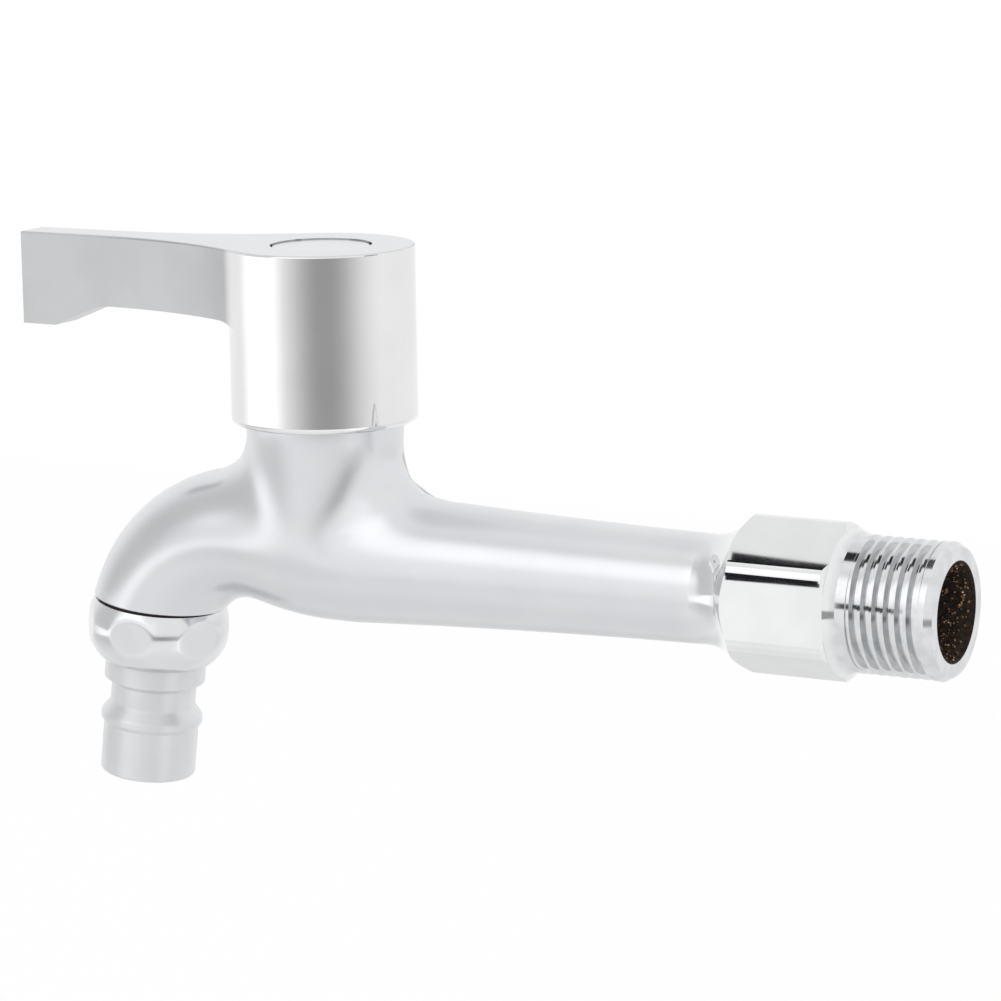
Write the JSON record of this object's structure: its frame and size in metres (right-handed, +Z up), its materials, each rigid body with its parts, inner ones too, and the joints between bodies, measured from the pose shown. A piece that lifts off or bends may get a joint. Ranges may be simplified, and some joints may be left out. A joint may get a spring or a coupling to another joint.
{
  "type": "washing machine tap",
  "caption": "Chrome wall tap with a long inlet barrel, lever handle over a ceramic disc valve, bent spout, ball nut and hose nozzle.",
  "frame": {"origin": "on the pipe axis, at the root of the shoulder where the inlet thread begins", "axes": "+X out of the inlet towards the wall fitting, -X along the barrel to the spout, +Z up through the handle"},
  "size_m": [0.1633, 0.0298, 0.0904],
  "materials": {
    "chrome_body": "polished chrome plate on brass",
    "chrome_handle": "polished chrome plate on a zinc casting",
    "satin_nozzle": "satin chrome plate",
    "brass": "turned",
    "rubber": "matte",
    "white_plastic": "matte",
    "ceramic": "lapped ceramic",
    "stainless": "plain"
  },
  "bodies": {
    "tap": {"tap_body": "chrome_body", "cartridge_housing": "brass", "housing_washer": "rubber", "seat_seal": "rubber", "seal_support_ring": "white_plastic", "fixed_disc": "ceramic", "thrust_washer": "white_plastic", "outlet_nut": "chrome_body", "nozzle": "satin_nozzle", "nozzle_washer": "rubber", "outlet_gauze": "stainless"},
    "handle": {"handle": "chrome_handle", "handle_screw": "stainless", "screw_washer": "stainless", "index_cap": "chrome_handle", "cap_o_ring": "rubber", "spindle": "brass", "spindle_clip": "stainless", "moving_disc": "ceramic", "spindle_o_ring_lower": "rubber", "spindle_o_ring_upper": "rubber"}
  },
  "joints": [
    {"name": "handle_turn", "type": "hinge", "parent": "tap", "child": "handle", "pos_m": [-0.09275, 0, 0], "axis": [0, 0, 1], "range_deg": [0, 90]}
  ]
}
